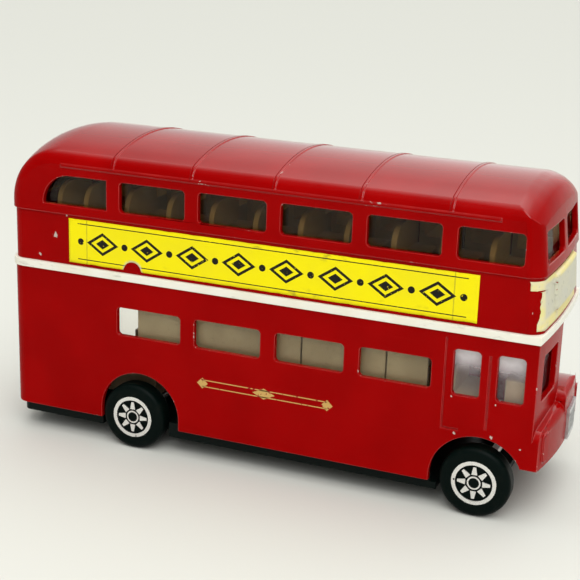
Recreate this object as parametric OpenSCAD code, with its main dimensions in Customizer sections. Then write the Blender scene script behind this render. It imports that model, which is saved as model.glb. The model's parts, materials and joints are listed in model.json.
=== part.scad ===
// Toy double-deck bus: two die-cast shells over a white deck moulding, a half cab
// with a bonnet beside it, an open rear platform, and two free-running wheelsets.
// Floor at z = 0, front towards +X, driver's side (offside) towards -Y.

/* [Bus] */
// Length from the rear of the waist band to the face of the grille
bus_len = 128; // [124:0.5:133]
// Width across the waist band
bus_w = 38.4; // [37:0.2:41]
// Height of the roof crown above the floor
bus_h = 69.2; // [68.4:0.2:72]
// Wall of the two castings
wall = 1.3; // [1.1:0.1:1.5]

/* [Levels] */
// Height of the lower edge of the skirt
skirt_z = 6.2; // [5.8:0.1:6.8]
// Height of the saloon floor that the lower seats stand on
saloon_z = 20.4; // [20:0.1:22]
// Height of the underside of the waist band
band_z = 39.2; // [38.2:0.1:40]
// Height of the waist band
band_h = 1.7; // [1.2:0.1:2.2]
// Height of the upper floor above the waist band
upper_floor_h = 6.1; // [4:0.1:7.5]
// Height of the ledge between the advert panel and the window band
ledge_z = 52.4; // [51.8:0.1:53.2]

/* [Shell] */
// How far the waist band stands out past the window band
band_proud = 0.2; // [0.1:0.05:0.4]
// Setback of the lower shell behind the window band
low_inset = 0.2; // [0.1:0.05:0.4]
// Setback of the advert panel behind the window band
panel_inset = 0.5; // [0.3:0.05:0.7]
// Radius of the rear dome in side view
dome_r = 15; // [13.5:0.1:16]
// Radius of the roof shoulders
shoulder_r = 3.5; // [3:0.1:4.5]
// Radius of the roof camber
camber_r = 52; // [46:1:70]
// Radius over the upper front windows
front_r = 7.5; // [6.5:0.1:8]
// Lean of the upper front, in degrees
front_lean = 6.8; // [4:0.1:8]
// Radius of the bowed front in plan
bow_r = 200; // [150:5:300]
// Setback of the cab front behind the nose
cab_set = 2.3; // [1.8:0.1:3]
// Setback of the upper front at the ledge behind the cab front
ledge_set = 0.65; // [0.4:0.05:1]
// Width of a roof rib
rib_w = 0.7; // [0.5:0.05:1]
// Height of a roof rib
rib_h = 0.14; // [0.1:0.01:0.18]
// Depth of the gutter bead along the roof edge
gutter_h = 0.7; // [0.4:0.1:1]

/* [Upper windows] */
// Distance of the first full window from the rear of the bus
upper_start = 30.9; // [30:0.1:32]
// Pitch of the upper windows
upper_pitch = 18.82; // [18.4:0.02:19]
// Length of an upper window
upper_win_w = 15.6; // [14.6:0.1:16.2]
// Height of an upper window
upper_win_h = 6.6; // [5.6:0.1:6.9]
// Height of the window sill above the ledge
upper_sill = 2.05; // [1.6:0.05:2.4]
// Length of the short front window
upper_last_w = 13.5; // [12.5:0.1:13.8]
// Length of the rear quarter window
upper_first_w = 15.8; // [14.5:0.1:16.2]
// Corner radius of the windows
win_r = 0.9; // [0.5:0.1:1.3]
// Width of the post between the two upper front windows
front_post_w = 2.4; // [1.8:0.1:3.5]
// Width of the rear window
rear_win_w = 16; // [12:0.5:20]

/* [Lower windows] */
// Distance of the first lower window from the rear of the bus
lower_start = 30.1; // [29.5:0.1:31]
// Pitch of the lower windows
lower_pitch = 18.94; // [18.5:0.02:19.1]
// Length of a lower window
lower_win_w = 15.5; // [14.5:0.1:16]
// Height of a lower window
lower_win_h = 6.4; // [5.6:0.1:7]
// Height of the lower window sill above the floor
lower_sill_z = 26.5; // [26:0.1:27.2]
// Height of a cab window
cab_win_h = 9.8; // [9:0.1:10.4]
// Length of a cab window
cab_win_w = 5.6; // [5:0.1:6]
// Distance of the front cab window from the cab front
cab_win_set = 3.4; // [3:0.1:3.8]
// Length of the door post between the two cab windows
cab_post_w = 3.5; // [3:0.1:4]

/* [Cab and bonnet] */
// Length of the cab behind the cab front
cab_len = 20.6; // [19.8:0.1:21]
// Offset of the cab's inner face from the centre line
cab_side = 0.6; // [0.2:0.1:1]
// Width of the bonnet
bonnet_w = 14; // [12:0.5:15]
// Height of the bonnet top above the floor
bonnet_z = 24.6; // [23.8:0.1:25.6]
// Height of the wing tops above the floor
wing_z = 22; // [21:0.1:22.6]
// Height of the front valance above the floor
valance_z = 12.4; // [12:0.1:13]
// Radius of the bowed nose in plan
nose_bow_r = 100; // [80:5:150]
// Radius of the nose, bonnet and wing edges
nose_r = 2.5; // [1.8:0.1:3]
// Thickness of the grille
grille_t = 0.6; // [0.5:0.05:0.8]
// Width of the grille
grille_w = 8.4; // [7:0.2:9.4]
// Width of a lamp boss on the wings
lamp_w = 2.7; // [2.2:0.1:3.2]
// Height of a lamp boss on the wings
lamp_h = 6.2; // [5.4:0.1:6.6]
// Distance of a lamp boss from the side of the wing
lamp_set = 1.9; // [1.5:0.1:2.6]

/* [Rear platform] */
// Length of the platform opening along the nearside
platform_len = 18; // [16:0.5:19]
// Width of the platform opening across the rear
platform_w = 17; // [14:0.5:18]
// Height of the platform floor
platform_z = 10.6; // [10:0.1:11.4]
// Height of the head of the platform opening
platform_head_z = 36.6; // [35.6:0.1:37]
// Diameter of the platform pole
pole_d = 1.8; // [1.4:0.1:2.2]

/* [Wheels] */
// Distance between the axles
wheelbase = 79; // [77:0.5:80]
// Distance of the rear axle from the rear of the bus
rear_axle_set = 34; // [33.5:0.1:35]
// Diameter of a tyre
tyre_d = 15.2; // [14.6:0.1:15.8]
// Width of a wheel
wheel_w = 4.6; // [4:0.1:5]
// How far the outer face of a wheel stands in from the waist band
wheel_inset = 0.2; // [0:0.05:0.7]
// Radius of the tyre shoulder
tyre_round = 1.3; // [0.8:0.1:1.6]
// Outer radius of the hub ring
hub_r = 4.75; // [4.3:0.05:5.2]
// Number of hub spokes
hub_spokes = 8; // [6:1:10]
// Diameter of an axle
axle_d = 2; // [1.6:0.1:2.4]
// Radial running clearance of an axle in its bearing
axle_clear = 0.05; // [0.03:0.01:0.08]
// Radius of the front wheel arch
front_arch_r = 10.1; // [9.6:0.1:10.4]
// Radius of the rear wheel arch
rear_arch_r = 9.6; // [9.4:0.1:9.9]
// Offset of the rear arch ahead of the rear axle
rear_arch_off = 1.7; // [1.2:0.1:1.8]

/* [Base] */
// Height of the underside of the base above the floor
base_z = 3.9; // [3.5:0.1:4.4]
// Thickness of the base
base_t = 1.5; // [1.2:0.1:1.8]
// Width of the flat pad under the base
pad_w = 25; // [22:0.5:26]
// Depth of the flat pad under the base
pad_t = 0.6; // [0.4:0.1:0.8]
// Diameter of the rivet shanks
rivet_d = 2; // [1.6:0.1:2.4]

/* [Labels] */
// Length of a side label
label_len = 93; // [80:1:96]
// Height of a side label
label_h = 10; // [8:0.1:10.4]
// Distance of a side label from the rear of the bus
label_start = 18.1; // [17:0.1:21]
// Thickness of a paper label
label_t = 0.15; // [0.1:0.01:0.2]

/* [Hidden] */
$fn = 96;
// Facets of the widest arcs
wide_fn = 720;
// Overrun of every cut
cut = 1;
// How far a shoulder arc runs over the two faces it blends, so that they cross cleanly
blend_over = 0.02;
// Gap between pieces that are pushed together and do not move
seat_gap = 0.1;

// Outline of the shells
half_w = bus_w / 2 - band_proud;
rear_x = -bus_len / 2;
far_x = bus_len / 2 + cut;
dome_x = rear_x + band_proud + dome_r;
dome_z = bus_h - dome_r;
band_top = band_z + band_h;
low_half = half_w - low_inset;
low_in = low_half - wall;
panel_half = half_w - panel_inset;
panel_in = panel_half - wall;
gutter_z = dome_z + dome_r - camber_r + sqrt(pow(camber_r - shoulder_r, 2) - pow(half_w - shoulder_r, 2));

// Front faces, given on the centre line
nose_x = bus_len / 2 - grille_t;
cab_x = nose_x - cab_set;
ledge_x = cab_x - ledge_set;
bow_x = cab_x - bow_r;
nose_bow_x = nose_x - nose_bow_r;
panel_foot_set = 0.2;
panel_foot_r = bow_r - panel_foot_set;
panel_head_r = bow_r - ledge_set - panel_inset;
bow_sag = pow(low_half, 2) / (2 * bow_r);
// How far a rounded edge runs over the face it meets, so that the two cross cleanly
edge_over = 0.1;
corner_over = 0.05;
corner_r = shoulder_r + panel_inset;
panel_lean = atan((panel_foot_r - panel_head_r) / (ledge_z - band_top));
front_top_z = bus_h + edge_over - front_r;
front_top_x = ledge_x + edge_over - front_r / cos(front_lean) - (front_top_z - ledge_z) * tan(front_lean);

// Upper windows
upper_x = rear_x + upper_start;
upper_post = upper_pitch - upper_win_w;
upper_count = 4;
sill_z = ledge_z + upper_sill;
upper_first_x = upper_x - upper_post - upper_first_w;
front_win_side = 2.2;
rear_win_drop = 0.6;

// Lower windows
lower_x = rear_x + lower_start;
lower_count = 4;
cab_sill_drop = 0.5;
cab_win_z = lower_sill_z - cab_sill_drop;
cab_win_x = cab_x - cab_win_set - cab_win_w;
bulkhead_x = cab_x - cab_len;
screen_margin = 2.4;

// Bonnet
bonnet_y = bonnet_w / 2 - 2 * wall;
bonnet_camber_r = 22;
nose_depth = 3;
wing_camber_r = 110;
wing_t = 3.4;
lamp_proud = 0.4;

// Front destination box
box_w = 19;
box_h = 7.4;
box_proud = 0.7;
box_drop = 1;

// Door grooves on the offside
groove_w = 0.3;
groove_d = 0.25;
door_set = 1.8;
door_x = cab_win_x - cab_post_w - cab_win_w - door_set;
door_top_z = band_z - wall;
door_drop = 2;
door_foot_z = saloon_z - door_drop;
door_mid_x = cab_win_x - cab_post_w / 2;
door_step = 3.5;

// Wheels and axles
wheel_z = tyre_d / 2;
rear_axle_x = rear_x + rear_axle_set;
front_axle_x = rear_axle_x + wheelbase;
rear_arch_x = rear_axle_x + rear_arch_off;
rear_arch_rise = 0.9;
front_arch_off = 0.3;
front_arch_x = front_axle_x + front_arch_off;
arch_lip = 1.2;
arch_lip_x = front_arch_x + front_arch_r - arch_lip;
track_out = bus_w - 2 * wheel_inset;
wheel_in = track_out / 2 - wheel_w;
hub_floor = 1.2;
axle_half = track_out / 2 - hub_floor;
hub_sink = 0.5;
ring_w = 0.8;
spoke_root_r = 1.8;
spoke_tip_r = 3.5;
spoke_root_w = 1.25;
spoke_tip_w = 0.6;
spoke_h = 0.4;
cap_r = 1.45;

// Base, bearings and rivets
base_half = low_in - seat_gap;
base_nose = 1;
base_rim_h = 1.1;
base_rim_t = 1.2;
wheel_gap = 0.8;
bearing_w = 2.8;
bearing_half = 2.6;
base_front_x = front_axle_x + bearing_half + base_nose;
pad_margin = 5;
rivet_head_d = 3.8;
rivet_head_t = 0.5;
rivet_depth = 6;
rivet_front_set = 17.5;
rivet_rear_set = 16.5;
rivet_front_x = front_axle_x - rivet_front_set;
rivet_rear_x = rear_axle_x + rivet_rear_set;
post_d = 5;
web_t = 1.2;
web_foot_z = skirt_z + base_rim_h + web_t;

// Saloon and upper deck mouldings
floor_t = 1.2;
ledge_w = 1.2;
rest_h = 1;
rest_x0 = rear_x + platform_len + 2 * wall;
saloon_x0 = rear_axle_x;
saloon_half = low_in - 3 * seat_gap;
glaze_t = 0.8;
glaze_over = 1.2;
seat_half = low_in - glaze_t - 3 * seat_gap;
aisle_half = 3.4;
seat_t = 1.2;
seat_round = 4.2;
seat_edge = 1.2;
seat_deep = 5;
seat_back_h = 12;
seat_pan_h = 5.2;
driver_back_h = 11;
upper_seat_h = 11.5;
upper_seats = 10;
upper_seat_pitch = 10.17;
upper_seat_set = 20.5;
back_bench_step = 6.6;
lower_seats = 4;
liner_t = 0.8;
liner_gap = 0.35;
liner_rise = 1;
liner_split = 4.95;
liner_z = lower_sill_z + lower_win_h + liner_rise;
lower_seat_half = seat_half - liner_t;
well_half = track_out / 2 - wheel_w - wheel_gap - bearing_w - 4 * seat_gap;
box_half = track_out / 2 - wheel_w - 10 * seat_gap;
box_z = wheel_z + tyre_d / 2 + 2 * floor_t;
tray_half = panel_in - 6 * seat_gap;
upper_z = band_top + upper_floor_h;
upper_seat_half = panel_in - 8 * seat_gap;
tray_rear_set = 11;
tray_front_set = 10;
tray_x0 = rear_x + tray_rear_set;
upper_seat_x = rear_x + upper_seat_set;
tray_x1 = cab_x - tray_front_set;
peg_d = 1.8;
peg_clear = 0.05;
peg_rise = 4;
boss_d = 3.4;
boss_h = 5;
low_boss_h = 2.6;
peg_y = panel_in - boss_d / 2 + wall / 4;
peg_rear_set = 7.2;
peg_front_set = 6;
peg_rear_x = rear_x + peg_rear_set;
peg_front_x = cab_x - peg_front_set;
stair_steps = 4;
stair_w = 9;

// Steering wheel
steer_r = 2.5;
steer_wire = 0.45;
steer_rise = 2.4;
dash_deep = 4.4;
dash_rise = 3.6;
dash_z = lower_sill_z + dash_rise;
dash_x = cab_x - wall - bow_sag - glaze_t - 4 * seat_gap - dash_deep;
steer_x = dash_x + dash_deep - steer_r - 2 * steer_wire;
cab_mid_y = -(low_in + cab_side + wall) / 2;
cab_floor_y = min(-cab_side - wall, bonnet_y - bonnet_w / 2) - seat_gap;

cast_red = [0.6, 0.02, 0.02];
deck_white = [0.88, 0.87, 0.82];
cream = [0.8, 0.74, 0.6];
clear_glass = [0.8, 0.85, 0.85, 0.4];
base_black = [0.06, 0.06, 0.06];
steel = [0.72, 0.72, 0.74];
label_yellow = [0.9, 0.84, 0.05];

// A box from one corner to the opposite one
module block(low, high) {
  translate(low) cube(high - low);
}

// A flat rectangle with round corners, its first corner at the origin
module pane(w, h, r) {
  translate([r, 0]) square([w - 2 * r, h]);
  translate([0, r]) square([w, h - 2 * r]);
  for (x = [r, w - r], y = [r, h - r])
    translate([x, y]) circle(r);
}

// Cambered profile with round shoulders: depth along x, width along y
module arch(w, d, rs, rc) {
  rise = d - rc;
  side_y = w - rs;
  side_x = rise + sqrt(pow(rc - rs, 2) - pow(side_y, 2));
  touch_y = side_y * rc / (rc - rs);
  intersection() {
    translate([0, -w]) square([d + cut, 2 * w]);
    translate([rise, 0]) rotate(180) circle(rc, $fn = wide_fn);
    union() {
      translate([-cut, -w - cut]) square([side_x + cut, 2 * (w + cut)]);
      translate([-cut, -touch_y]) square([d + 3 * cut, 2 * touch_y]);
      for (s = [-1, 1])
        translate([side_x, s * side_y]) circle(rs + blend_over);
    }
  }
}

// Section of the bus, used for the roof and for the rear wall
module end_profile(inset) {
  arch(half_w - inset, dome_r - inset, shoulder_r - inset, camber_r - inset);
}

// Upright block with the bus's plan, open-ended at the front
module plan_solid(inset, z0, z1) {
  w = half_w - inset;
  translate([dome_x, 0, z0])
    linear_extrude(z1 - z0) {
      mirror([1, 0]) end_profile(inset);
      translate([0, -w]) square([far_x - dome_x, 2 * w]);
    }
}

// Roof run and rear dome above the dome's axis
module roof_solid(inset) {
  translate([far_x, 0, dome_z])
    rotate([0, -90, 0])
      linear_extrude(far_x - dome_x) end_profile(inset);
  translate([dome_x, 0, dome_z])
    rotate([-90, 0, 0])
      rotate([0, 0, 180])
        rotate_extrude(angle = 90) end_profile(inset);
}

// Upright drum whose front gives a bowed face
module drum(x, r, z0, z1) {
  translate([x, 0, z0]) rotate(180) cylinder(r = r, h = z1 - z0, $fn = wide_fn);
}

// Everything behind a bowed face with round corners, drawn from the foot of the face
module bowed_face(inset) {
  translate([-bus_len, 0, -dome_r])
    linear_extrude(4 * dome_r)
      arch(half_w + corner_over - inset, bus_len - inset, corner_r - inset, bow_r - inset);
}

// Everything behind and below a rounded edge that runs across the bus
module edge_solid(x, z, r) {
  side_cut() {
    translate([rear_x - cut, -cut]) square([x - rear_x + cut, bus_h + 3 * cut]);
    translate([rear_x - cut, -cut]) square([far_x - rear_x + 2 * cut, z + cut]);
    translate([x, z]) circle(r);
  }
}

// Everything behind and below the front edge of the roof, rounded along the camber
module crown_solid(inset) {
  edge_r = front_top_z - bus_h + camber_r;
  translate([0, 0, bus_h - camber_r])
    rotate([0, 90, 0])
      rotate_extrude($fn = wide_fn) {
        translate([0, rear_x - cut]) square([camber_r + cut, front_top_x - rear_x + cut]);
        translate([0, rear_x - cut]) square([edge_r, far_x - rear_x + 2 * cut]);
        translate([edge_r, front_top_x]) circle(front_r - inset);
      }
}

// Window band and roof with the front leaning back
module upper_band(inset) {
  intersection() {
    union() {
      roof_solid(inset);
      plan_solid(inset, ledge_z, dome_z);
    }
    translate([ledge_x, 0, ledge_z])
      rotate([0, -front_lean, 0]) bowed_face(inset);
    crown_solid(inset);
  }
}

// Whole upper deck as a solid, set in by a given distance
module upper_solid(inset, z0) {
  upper_band(inset);
  intersection() {
    plan_solid(inset + panel_inset, z0, ledge_z);
    panel_cone(-inset, z0);
    translate([cab_x - panel_foot_set + panel_inset + corner_over, 0, band_top])
      rotate([0, -panel_lean, 0]) bowed_face(inset + panel_inset);
  }
}

// Bowed front of the advert panel
module panel_cone(proud, z0) {
  translate([bow_x, 0, z0])
    rotate(180)
      cylinder(r1 = panel_foot_r + proud, r2 = panel_head_r + proud, h = ledge_z - z0, $fn = wide_fn);
}

// Whole lower deck as a solid, set in by a given distance
module lower_solid(inset, z0, z1) {
  intersection() {
    plan_solid(low_inset + inset, z0, z1);
    drum(bow_x, bow_r - inset, z0 - cut, z1 + cut);
  }
}

// Nose outline with a rounded upper edge at the given height
module nose_disc(top, proud) {
  r = nose_bow_r + proud;
  translate([nose_bow_x, 0, 0])
    rotate(180)
      rotate_extrude($fn = wide_fn) {
        square([r - nose_r, top]);
        square([r, top - nose_r]);
        translate([r - nose_r, top - nose_r]) circle(nose_r);
      }
}

// Cut through both sides with an outline drawn in x and z
module side_cut() {
  rotate([90, 0, 0])
    linear_extrude(bus_w + 2 * cut, center = true) children();
}

module upper_window_cuts() {
  for (i = [0:upper_count - 1])
    side_cut() translate([upper_x + i * upper_pitch, sill_z]) pane(upper_win_w, upper_win_h, win_r);
  side_cut()
    translate([upper_x + upper_count * upper_pitch, sill_z]) pane(upper_last_w, upper_win_h, win_r);
  side_cut() {
    translate([upper_first_x + upper_win_h, sill_z]) square([upper_first_w - upper_win_h, upper_win_h]);
    intersection() {
      translate([upper_first_x + upper_win_h, sill_z]) circle(upper_win_h);
      translate([upper_first_x, sill_z]) square(upper_win_h);
    }
  }
  pane_w = panel_in - front_win_side - front_post_w / 2;
  for (s = [0, 1])
    mirror([0, s, 0])
      translate([front_top_x, front_post_w / 2, sill_z])
        rotate([90, 0, 90]) linear_extrude(far_x) pane(pane_w, upper_win_h, win_r);
  translate([dome_x, -rear_win_w / 2, sill_z])
    rotate([90, 0, 90]) mirror([0, 0, 1]) linear_extrude(dome_r + cut)
      pane(rear_win_w, upper_win_h - rear_win_drop, win_r);
}

module roof_trim() {
  for (i = [0:upper_count])
    translate([upper_x - upper_post / 2 + rib_w / 2 + i * upper_pitch, 0, dome_z])
      rotate([0, -90, 0])
        linear_extrude(rib_w)
          intersection() {
            end_profile(-rib_h);
            translate([gutter_z - dome_z + gutter_h / 2, -bus_w / 2]) square([dome_r, bus_w]);
          }
  for (s = [0, 1])
    mirror([0, s, 0])
      block([dome_x + wall, half_w - wall / 2, gutter_z - gutter_h / 4],
        [front_top_x - wall, half_w + band_proud, gutter_z + gutter_h * 3 / 4]);
}

// Raised destination box on the front panel
module front_box(proud, margin) {
  top = ledge_z - box_drop - margin;
  intersection() {
    panel_cone(proud, band_top);
    block([bow_x + panel_head_r - wall, -box_w / 2 + margin, top - box_h + 2 * margin],
      [far_x, box_w / 2 - margin, top]);
  }
}

// The three pegs between the shells, drawn with the side wall towards +Y
module peg_places() {
  for (p = [[peg_rear_x, 0], [peg_rear_x, 1], [peg_front_x, 1]])
    mirror([0, p[1], 0]) translate([p[0], peg_y, 0]) children();
}

module upper_body() {
  color(cast_red)
    difference() {
      union() {
        difference() {
          union() {
            upper_solid(0, band_top);
            roof_trim();
            front_box(box_proud, 0);
          }
          upper_solid(wall, band_top - cut);
        }
        peg_places() translate([0, 0, band_top]) cylinder(d = boss_d, h = boss_h);
      }
      upper_window_cuts();
      peg_places()
        translate([0, 0, band_top - cut]) cylinder(d = peg_d + 2 * peg_clear, h = peg_rise + seat_gap + cut);
    }
}

module lower_window_cuts() {
  for (i = [0:lower_count - 1])
    side_cut() translate([lower_x + i * lower_pitch, lower_sill_z]) pane(lower_win_w, lower_win_h, win_r);
  for (x = [cab_win_x, cab_win_x - cab_post_w - cab_win_w])
    translate([0, -low_half, 0])
      rotate([90, 0, 0])
        linear_extrude(4 * wall, center = true)
          translate([x, cab_win_z]) pane(cab_win_w, cab_win_h, win_r);
  translate([cab_x - 3 * wall, -low_in + screen_margin, cab_win_z])
    rotate([90, 0, 90])
      linear_extrude(far_x) pane(low_in - cab_side - wall - 2 * screen_margin, cab_win_h, win_r);
  translate([bulkhead_x - 2 * wall, screen_margin, cab_win_z])
    rotate([90, 0, 90])
      linear_extrude(3 * wall) pane(low_in - 2 * screen_margin, cab_win_h, win_r);
  translate([bulkhead_x + screen_margin, -cab_side + wall, cab_win_z])
    rotate([90, 0, 0])
      linear_extrude(3 * wall) pane(cab_len - wall - 3 * screen_margin, cab_win_h, win_r);
}

module arch_cuts() {
  translate([rear_arch_x, 0, wheel_z + rear_arch_rise])
    rotate([90, 0, 0]) cylinder(r = rear_arch_r, h = bus_w + 2 * cut, center = true);
  translate([front_arch_x, 0, wheel_z])
    rotate([90, 0, 0]) cylinder(r = front_arch_r, h = bus_w + 2 * cut, center = true);
  block([rear_arch_x - rear_arch_r, -bus_w, -cut],
    [rear_arch_x + rear_arch_r, bus_w, wheel_z + rear_arch_rise]);
  block([front_arch_x - front_arch_r, -bus_w, -cut], [front_arch_x + front_arch_r, bus_w, wheel_z]);
  block([arch_lip_x, -bus_w, -cut], [far_x, bus_w, valance_z]);
}

module door_grooves() {
  y0 = -low_half - cut;
  y1 = -low_half + groove_d;
  block([door_x, y0, door_foot_z], [door_x + groove_w, y1, door_top_z]);
  block([door_x, y0, door_foot_z], [door_x + door_step, y1, door_foot_z + groove_w]);
  block([door_mid_x, y0, door_foot_z + wall], [door_mid_x + groove_w, y1, door_top_z - 2 * wall]);
}

// Bonnet tunnel beside the cab, set in by a given distance
module bonnet_solid(inset, x0) {
  intersection() {
    translate([far_x, bonnet_y, valance_z])
      rotate([0, -90, 0])
        linear_extrude(far_x - x0)
          arch(bonnet_w / 2 - inset, bonnet_z - valance_z - inset, nose_r - inset, bonnet_camber_r - inset);
    drum(nose_bow_x, nose_bow_r - inset, 0, bus_h);
    edge_solid(nose_x - nose_r + edge_over, bonnet_z - nose_r + edge_over, nose_r - inset);
  }
}

// Cambered wings across the whole nose
module wing_solid(x0) {
  translate([far_x, 0, valance_z])
    rotate([0, -90, 0])
      linear_extrude(far_x - x0) arch(low_half, wing_z - valance_z, nose_r, wing_camber_r);
}

module nose_block() {
  intersection() {
    wing_solid(cab_x - nose_depth);
    nose_disc(wing_z + edge_over, 0);
  }
  for (s = [0, 1])
    mirror([0, s, 0])
      intersection() {
        translate([cab_x, low_half - lamp_set - lamp_w, valance_z + wall])
          rotate([90, 0, 90]) linear_extrude(far_x) pane(lamp_w, lamp_h, lamp_w / 3);
        drum(nose_bow_x, nose_bow_r + lamp_proud, 0, bus_h);
      }
}

// Cast rests for the saloon moulding, posts for the rivets and pegs for the upper shell
module lower_fixings() {
  rest_top = saloon_z - floor_t;
  for (s = [0, 1])
    mirror([0, s, 0])
      block([saloon_x0 + wall, low_in - ledge_w, rest_top - rest_h],
        [bulkhead_x - wall, low_in + wall / 2, rest_top]);
  block([bulkhead_x - wall, -low_in - wall / 2, rest_top - rest_h],
    [cab_x - nose_depth, -low_in + ledge_w, rest_top]);
  block([rear_x + dome_r / 2, -low_in - wall / 2, platform_z - floor_t - rest_h],
    [rest_x0, -low_in + ledge_w, platform_z - floor_t]);
  for (x = [rivet_front_x, rivet_rear_x]) {
    block([x - web_t / 2, -low_in - wall / 2, web_foot_z], [x + web_t / 2, low_in + wall / 2, rest_top]);
    translate([x, 0, base_z + base_t]) cylinder(d = post_d, h = rest_top - base_z - base_t);
  }
  peg_places() {
    translate([0, 0, band_z - low_boss_h]) cylinder(d = boss_d, h = low_boss_h);
    block([-boss_d / 2, 0, band_z - low_boss_h], [boss_d / 2, low_in - peg_y + wall / 2, band_z]);
    translate([0, 0, band_z - cut]) cylinder(d = peg_d, h = cut + band_h + peg_rise);
  }
}

module lower_body() {
  recess_low = [bulkhead_x, -cab_side, wing_z - wing_t];
  color(cast_red)
    difference() {
      union() {
        difference() {
          union() {
            difference() {
              lower_solid(0, skirt_z, band_z);
              lower_solid(wall, skirt_z - cut, band_z + cut);
            }
            nose_block();
          }
          difference() {
            block(recess_low, [far_x, bus_w, band_z + cut]);
            wing_solid(bulkhead_x - cut);
          }
        }
        difference() {
          union() {
            bonnet_solid(0, bulkhead_x - wall);
            intersection() {
              block([bulkhead_x - wall, -cab_side, wing_z - wing_t], [cab_x, low_half, wing_z + cut]);
              wing_solid(bulkhead_x - 2 * wall);
            }
          }
          bonnet_solid(wall, bulkhead_x - wall - cut);
        }
        block([bulkhead_x - wall, -cab_side - wall, valance_z], [bulkhead_x, low_half, band_z]);
        block([bulkhead_x - wall, -cab_side - wall, wing_z - wall], [cab_x - wall / 2, -cab_side, band_z]);
        lower_fixings();
      }
      lower_window_cuts();
      arch_cuts();
      door_grooves();
      difference() {
        block([rear_x - cut, low_half - platform_w, platform_z],
          [rear_x + platform_len, bus_w, platform_head_z]);
        platform_pole(0);
      }
      for (x = [rivet_front_x, rivet_rear_x])
        translate([x, 0, base_z]) cylinder(d = rivet_d, h = base_t + rivet_depth);
    }
}

// Grab pole at the open rear corner, cast with the lower shell
module platform_pole(gap) {
  in = band_proud + low_inset + shoulder_r + pole_d / 2;
  translate([rear_x + in, low_half - pole_d, platform_z - wall])
    cylinder(r = pole_d / 2 + gap, h = platform_head_z - platform_z + 2 * wall);
}

// A bench from its outer end: back plate rounded beside the window, cushion in front of it
module bench(w, back_h, pan_h) {
  rotate([90, 0, 90])
    linear_extrude(seat_t) {
      square([w, back_h - seat_round]);
      translate([seat_round, 0]) square([w - seat_round - seat_edge, back_h]);
      translate([seat_round, 0]) square([w - seat_round, back_h - seat_edge]);
      translate([seat_round, back_h - seat_round]) circle(seat_round);
      translate([w - seat_edge, back_h - seat_edge]) circle(seat_edge);
    }
  block([0, 0, 0], [seat_t + seat_deep, w, pan_h]);
}

// A row of benches on both sides of the aisle, from the rear
module benches(count, x0, pitch, half, z, back_h) {
  for (i = [0:count - 1], s = [0, 1])
    mirror([0, s, 0])
      translate([x0 + i * pitch, -half, z]) bench(half - aisle_half, back_h, seat_pan_h);
}

module upper_deck() {
  rim = floor_t;
  color(deck_white)
    difference() {
      union() {
        intersection() {
          plan_solid(-band_proud, band_z, band_top);
          drum(bow_x, bow_r + band_proud, band_z - cut, band_top + cut);
        }
        block([tray_x0, -tray_half, band_z], [tray_x1, tray_half, upper_z]);
        benches(upper_seats, upper_seat_x, upper_seat_pitch, upper_seat_half, upper_z, upper_seat_h);
        benches(1, upper_seat_x - back_bench_step, 0, upper_seat_half, upper_z, upper_seat_h);
      }
      block([tray_x0 + rim, -tray_half + rim, band_z - cut],
        [tray_x1 - rim, tray_half - rim, upper_z - floor_t]);
      peg_places()
        translate([0, 0, band_z - cut]) cylinder(d = peg_d + 4 * peg_clear, h = band_h + 2 * cut);
    }
}

// Staircase at the offside of the platform
module stairs() {
  run = (rest_x0 - rear_x - dome_r / 2) / stair_steps;
  rise = (band_z - wall - platform_z) / (stair_steps + 1);
  for (i = [0:stair_steps - 1])
    block([rest_x0 - wall - (i + 1) * run, -saloon_half, platform_z - floor_t],
      [rest_x0 - wall - i * run, -saloon_half + stair_w, platform_z + (i + 1) * rise]);
}

// Side walls of the saloon moulding, close behind the glazing, split into panels
module saloon_liners() {
  splits = [for (i = [lower_count / 2:lower_count - 1]) lower_x + i * lower_pitch + liner_split];
  for (s = [0, 1])
    mirror([0, s, 0])
      difference() {
        block([saloon_x0, -seat_half, saloon_z - floor_t],
          [bulkhead_x - 2 * wall - glaze_t, -lower_seat_half, liner_z]);
        for (x = splits)
          block([x, -bus_w, saloon_z], [x + liner_gap, 0, bus_h]);
      }
}

// Sunken way from the platform to the saloon, between boxes over the rear wheels
module platform_floor() {
  low = platform_z - floor_t;
  difference() {
    intersection() {
      plan_solid(half_w - saloon_half, low, platform_z);
      block([rear_x, -bus_w, low - cut], [rest_x0, bus_w, platform_z + cut]);
    }
    platform_pole(2 * seat_gap);
  }
  block([rest_x0 - wall, -well_half, low], [saloon_x0 + wall, well_half, platform_z]);
  block([saloon_x0, -well_half, low], [saloon_x0 + wall, well_half, saloon_z]);
  for (s = [0, 1])
    mirror([0, s, 0]) {
      block([rest_x0 - wall, well_half - wall, low], [saloon_x0 + wall, well_half, box_z]);
      block([rest_x0 - wall, well_half - wall, box_z - floor_t], [saloon_x0 + wall, box_half, box_z]);
      block([rest_x0 - wall, well_half - wall, low], [rest_x0, saloon_half, box_z]);
    }
}

module lower_deck() {
  seat_pitch = (bulkhead_x - saloon_x0) / lower_seats;
  color(cream)
    union() {
      block([saloon_x0, -saloon_half, saloon_z - floor_t],
        [bulkhead_x - wall - seat_gap, saloon_half, saloon_z]);
      block([bulkhead_x - 2 * wall, -saloon_half, saloon_z - floor_t],
        [cab_x - nose_depth - seat_gap, cab_floor_y, saloon_z]);
      platform_floor();
      stairs();
      saloon_liners();
      benches(lower_seats, saloon_x0 + wall, seat_pitch, lower_seat_half, saloon_z, seat_back_h);
      translate([bulkhead_x + wall, -seat_half, saloon_z])
        bench(seat_half - cab_side - glaze_t - 3 * wall, driver_back_h, seat_pan_h);
      block([dash_x, -seat_half, saloon_z], [dash_x + dash_deep, -cab_side - 2 * wall - glaze_t, dash_z]);
    }
}

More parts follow.
